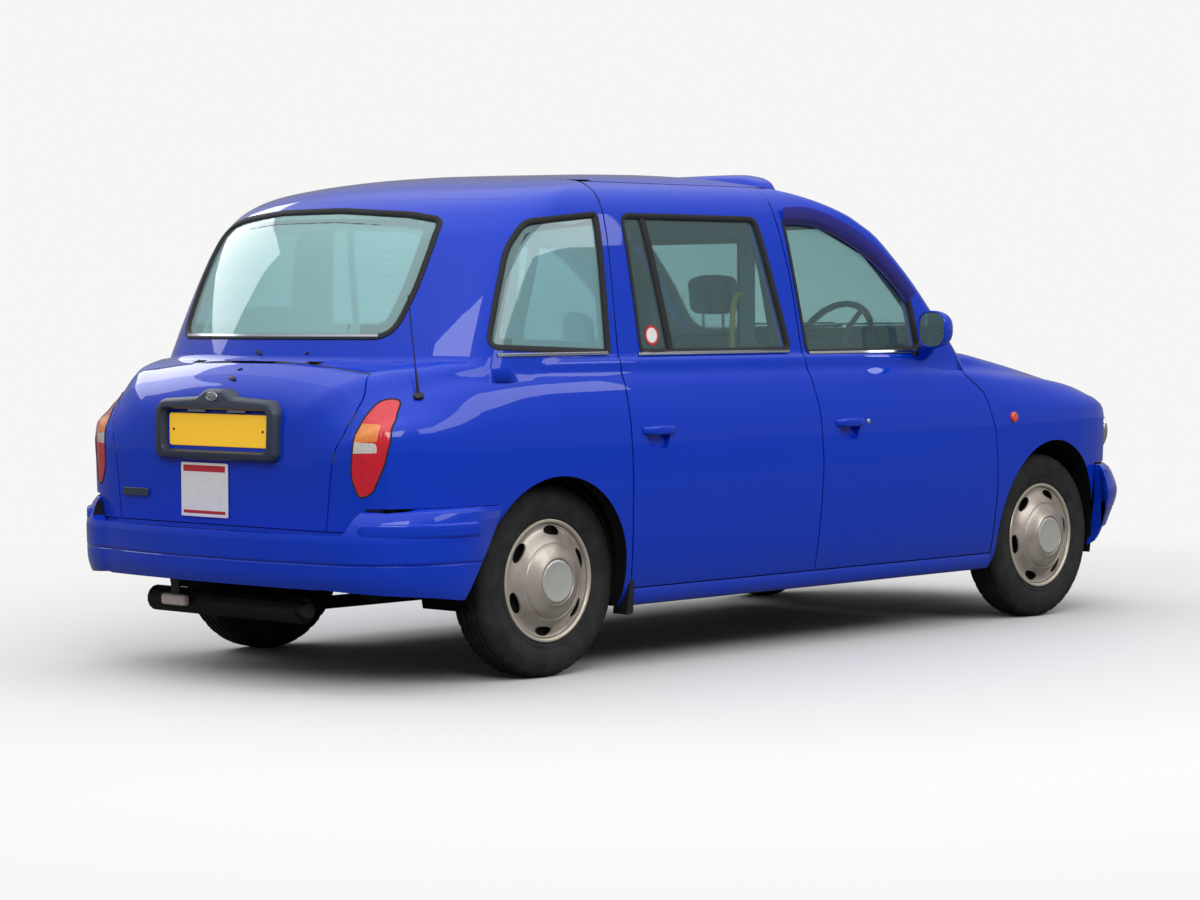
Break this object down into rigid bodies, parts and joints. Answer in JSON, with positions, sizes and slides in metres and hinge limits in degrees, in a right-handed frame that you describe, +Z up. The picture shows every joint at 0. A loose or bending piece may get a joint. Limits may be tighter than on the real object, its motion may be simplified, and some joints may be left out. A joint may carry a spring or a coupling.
{
  "type": "taxi cab",
  "caption": "Rounded purpose-built hire cab with a high roof, a partitioned cabin, hinged doors, bonnet and boot lid, steered front wheels and free-rolling road wheels.",
  "frame": {"origin": "on the ground under the middle of the cab, half way along its length and half way across it", "axes": "+X forward, +Y to the cab's left, +Z up"},
  "size_m": [4.575, 2.036, 1.79],
  "materials": {
    "blue_paint": "glossy blue paint under clear coat",
    "bumper_plastic": "moulded plastic painted in body colour",
    "chassis_black": "matt black chassis paint",
    "exhaust_steel": "dull rolled steel",
    "cast_iron": "bare casting",
    "black_trim": "moulded black plastic",
    "clear_lens": "clear moulded lens",
    "red_lens": "red moulded lens",
    "window_glass": "lightly green tinted safety glass",
    "seat_vinyl": "dark grey seat cover",
    "tyre": "black tyre rubber",
    "wheel_silver": "silver wheel paint"
  },
  "bodies": {
    "body": {"floor_pan": "chassis_black", "front_subframe": "chassis_black", "rear_axle": "chassis_black", "exhaust": "exhaust_steel", "engine": "cast_iron", "roof": "blue_paint", "windscreen_frame": "blue_paint", "windscreen": "window_glass", "tail_panel": "blue_paint", "rear_window": "window_glass", "quarter_panel_right": "blue_paint", "quarter_panel_left": "blue_paint", "quarter_glass_right": "window_glass", "quarter_glass_left": "window_glass", "tail_lamp_right": "red_lens", "tail_lamp_left": "red_lens", "front_wing_right": "blue_paint", "front_wing_left": "blue_paint", "headlamp_right": "clear_lens", "headlamp_left": "clear_lens", "grille": "black_trim", "front_bumper": "bumper_plastic", "rear_bumper": "bumper_plastic", "partition": "black_trim", "dashboard": "black_trim", "driver_seat": "seat_vinyl", "rear_seat": "seat_vinyl"},
    "front_right_door": {"door_front_right": "blue_paint", "door_glass_front_right": "window_glass"},
    "front_left_door": {"door_front_left": "blue_paint", "door_glass_front_left": "window_glass"},
    "rear_right_door": {"door_rear_right": "blue_paint", "door_glass_rear_right": "window_glass"},
    "rear_left_door": {"door_rear_left": "blue_paint", "door_glass_rear_left": "window_glass"},
    "bonnet_lid": {"bonnet": "blue_paint"},
    "boot_door": {"boot_lid": "blue_paint"},
    "steering": {"steering_wheel": "black_trim"},
    "right_knuckle": {"knuckle_right": "chassis_black"},
    "left_knuckle": {"knuckle_left": "chassis_black"},
    "front_right_wheel": {"wheel_front_right": "wheel_silver", "tyre_front_right": "tyre"},
    "front_left_wheel": {"wheel_front_left": "wheel_silver", "tyre_front_left": "tyre"},
    "rear_right_wheel": {"wheel_rear_right": "wheel_silver", "tyre_rear_right": "tyre"},
    "rear_left_wheel": {"wheel_rear_left": "wheel_silver", "tyre_rear_left": "tyre"}
  },
  "joints": [
    {"name": "front_right_door_hinge", "type": "hinge", "parent": "body", "child": "front_right_door", "pos_m": [1.066, -0.888, 0.7], "axis": [0, 0, 1], "range_deg": [0, 70]},
    {"name": "front_left_door_hinge", "type": "hinge", "parent": "body", "child": "front_left_door", "pos_m": [1.066, 0.888, 0.7], "axis": [0, 0, -1], "range_deg": [0, 70]},
    {"name": "rear_right_door_hinge", "type": "hinge", "parent": "body", "child": "rear_right_door", "pos_m": [-0.041, -0.888, 0.7], "axis": [0, 0, 1], "range_deg": [0, 80]},
    {"name": "rear_left_door_hinge", "type": "hinge", "parent": "body", "child": "rear_left_door", "pos_m": [-0.041, 0.888, 0.7], "axis": [0, 0, -1], "range_deg": [0, 80]},
    {"name": "bonnet_hinge", "type": "hinge", "parent": "body", "child": "bonnet_lid", "pos_m": [1.105, 0, 1.12], "axis": [0, -1, 0], "range_deg": [0, 60]},
    {"name": "boot_hinge", "type": "hinge", "parent": "body", "child": "boot_door", "pos_m": [-2.062, 0, 1.088], "axis": [0, 1, 0], "range_deg": [0, 80]},
    {"name": "steering_wheel_turn", "type": "hinge", "parent": "body", "child": "steering", "pos_m": [0.66, -0.38, 1.125], "axis": [0.8829, 0, -0.4695], "range_deg": [-540, 540]},
    {"name": "steer_right", "type": "hinge", "parent": "body", "child": "right_knuckle", "pos_m": [1.5075, -0.6375, 0.3345], "axis": [0, 0, 1], "range_deg": [-45, 45]},
    {"name": "steer_left", "type": "hinge", "parent": "body", "child": "left_knuckle", "pos_m": [1.5075, 0.6375, 0.3345], "axis": [0, 0, 1], "range_deg": [-45, 45]},
    {"name": "front_right_wheel_spin", "type": "hinge", "parent": "right_knuckle", "child": "front_right_wheel", "pos_m": [1.5075, -0.7125, 0.3345], "axis": [0, 1, 0], "continuous": true},
    {"name": "front_left_wheel_spin", "type": "hinge", "parent": "left_knuckle", "child": "front_left_wheel", "pos_m": [1.5075, 0.7125, 0.3345], "axis": [0, 1, 0], "continuous": true},
    {"name": "rear_right_wheel_spin", "type": "hinge", "parent": "body", "child": "rear_right_wheel", "pos_m": [-1.3785, -0.7125, 0.3345], "axis": [0, 1, 0], "continuous": true},
    {"name": "rear_left_wheel_spin", "type": "hinge", "parent": "body", "child": "rear_left_wheel", "pos_m": [-1.3785, 0.7125, 0.3345], "axis": [0, 1, 0], "continuous": true}
  ],
  "couplings": [
    {"joint": "steer_left", "follows": "steer_right", "ratio": 1},
    {"joint": "steering_wheel_turn", "follows": "steer_right", "ratio": -12}
  ]
}
